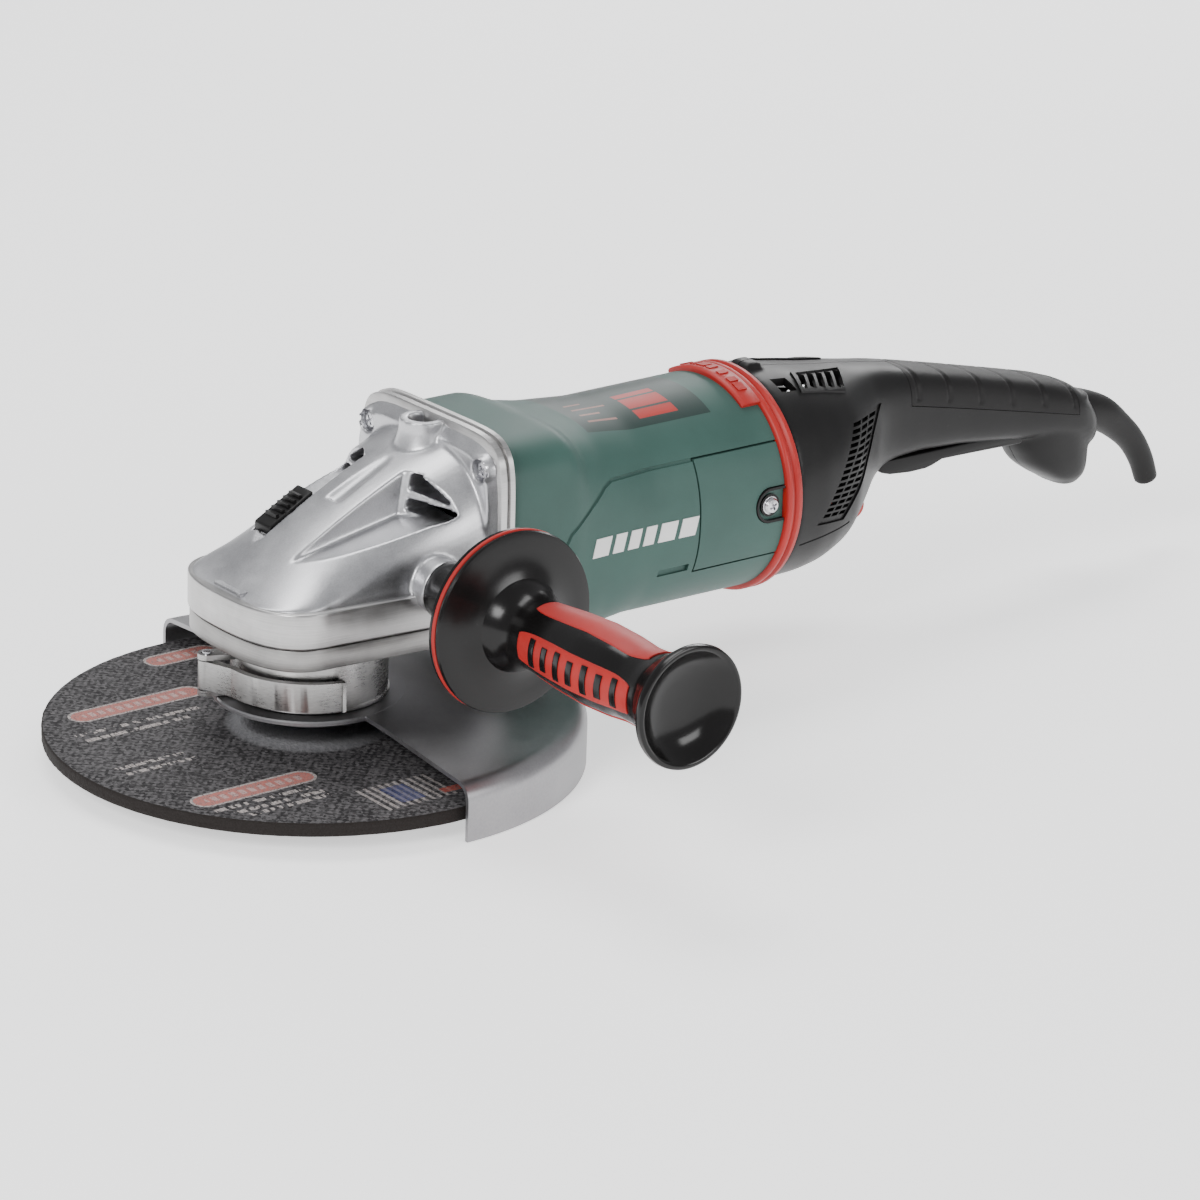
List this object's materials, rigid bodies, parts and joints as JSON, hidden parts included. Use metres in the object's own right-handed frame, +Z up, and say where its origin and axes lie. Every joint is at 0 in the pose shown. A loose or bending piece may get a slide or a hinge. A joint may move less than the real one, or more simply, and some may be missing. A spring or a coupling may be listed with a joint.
{
  "type": "angle grinder",
  "caption": "Large two-handed electric grinder: cast gear head with guarded abrasive disc, round motor body, rear grip with paddle switch and a screwed-in side handle.",
  "frame": {"origin": "centre of the free end face of the spindle", "axes": "+Z up the spindle into the gear head, +X along the motor axis towards the rear handle, the side handle points along -Y"},
  "size_m": [0.6168, 0.3392, 0.144],
  "materials": {
    "cast_aluminium": "brushed and blasted casting",
    "steel": "turned",
    "dark_steel": "blackened",
    "zinc_steel": "satin zinc",
    "abrasive": "coarse bonded grit",
    "green_plastic": "fine moulded grain",
    "black_plastic": "moulded, satin",
    "red_plastic": "moulded",
    "red_rubber": "moulded soft elastomer",
    "soft_rubber": "matte, ribbed",
    "copper": "enamelled copper",
    "carbon": "pressed carbon",
    "grey_nylon": "glass-filled nylon"
  },
  "bodies": {
    "housing": {"gear_housing": "cast_aluminium", "bearing_flange": "cast_aluminium", "spindle_ball_bearing": "steel", "spindle_needle_bearing": "steel", "lock_spring": "steel", "motor_housing": "green_plastic", "brush_cover_left": "green_plastic", "brush_cover_right": "green_plastic", "brush_cover_screw_left": "steel", "brush_cover_screw_right": "steel", "stator_core": "dark_steel", "field_coil_left": "copper", "field_coil_right": "copper", "armature_front_bearing": "steel", "armature_rear_bearing": "steel", "brush_holder_left": "grey_nylon", "brush_holder_right": "grey_nylon", "carbon_brush_left": "carbon", "carbon_brush_right": "carbon", "damping_ring": "red_rubber", "side_handle_stud": "steel", "side_handle_base": "black_plastic", "side_handle_ring": "red_rubber", "side_handle_grip": "black_plastic", "gear_housing_screw_1": "steel", "bearing_flange_screw_1": "steel", "gear_housing_screw_2": "steel", "bearing_flange_screw_2": "steel", "gear_housing_screw_3": "steel", "bearing_flange_screw_3": "steel", "gear_housing_screw_4": "steel", "bearing_flange_screw_4": "steel"},
    "spindle_set": {"spindle": "steel", "support_flange": "dark_steel", "grinding_disc": "abrasive", "disc_bush": "steel", "clamp_nut": "dark_steel", "crown_gear": "dark_steel"},
    "armature_set": {"pinion": "dark_steel", "armature_shaft": "steel", "armature_core": "dark_steel", "commutator": "copper", "fan": "grey_nylon"},
    "guard_set": {"guard": "zinc_steel", "guard_collar": "zinc_steel", "lever_pin": "steel"},
    "lever": {"guard_lever": "zinc_steel"},
    "lock": {"lock_button": "black_plastic"},
    "rear_handle": {"handle_shell_left": "black_plastic", "handle_shell_right": "black_plastic", "handle_soft_grip": "soft_rubber", "handle_screw_1": "steel", "handle_screw_2": "steel", "switch_module": "black_plastic", "electronics_module": "black_plastic", "cable_clamp": "black_plastic", "cable_sleeve": "soft_rubber"},
    "trigger": {"trigger_paddle": "black_plastic"},
    "trigger_catch": {"trigger_lock": "black_plastic"},
    "release": {"release_button": "red_plastic"}
  },
  "joints": [
    {"name": "spindle_spin", "type": "hinge", "parent": "housing", "child": "spindle_set", "pos_m": [0, 0, 0.03], "axis": [0, 0, 1], "continuous": true},
    {"name": "armature_spin", "type": "hinge", "parent": "housing", "child": "armature_set", "pos_m": [0.12, 0, 0.079], "axis": [1, 0, 0], "continuous": true},
    {"name": "guard_turn", "type": "hinge", "parent": "housing", "child": "guard_set", "pos_m": [0, 0, 0.036], "axis": [0, 0, 1], "range_deg": [-90, 90]},
    {"name": "lever_open", "type": "hinge", "parent": "guard_set", "child": "lever", "pos_m": [-0.04172, 0.01686, 0.0335], "axis": [0, 0, -1], "range_deg": [0, 50]},
    {"name": "lock_press", "type": "slide", "parent": "housing", "child": "lock", "axis": [0, 0, -1], "range_m": [0, 0.004], "stiffness_N_per_m": 400, "springref_m": -0.004},
    {"name": "handle_swivel", "type": "hinge", "parent": "housing", "child": "rear_handle", "pos_m": [0.2314, 0, 0.079], "axis": [1, 0, 0], "range_deg": [-90, 90]},
    {"name": "trigger_press", "type": "hinge", "parent": "rear_handle", "child": "trigger", "pos_m": [0.398, 0, 0.07], "axis": [0, 1, 0], "range_deg": [0, 4.5], "stiffness_Nm_per_rad": 4, "springref_deg": -4.58},
    {"name": "catch_slide", "type": "slide", "parent": "trigger", "child": "trigger_catch", "axis": [-1, 0, 0], "range_m": [0, 0.006], "stiffness_N_per_m": 150, "springref_m": -0.004},
    {"name": "release_press", "type": "slide", "parent": "rear_handle", "child": "release", "axis": [-0.829, 0, 0.5593], "range_m": [0, 0.003], "stiffness_N_per_m": 400, "springref_m": -0.004}
  ],
  "couplings": [
    {"joint": "armature_spin", "follows": "spindle_spin", "ratio": 4}
  ]
}
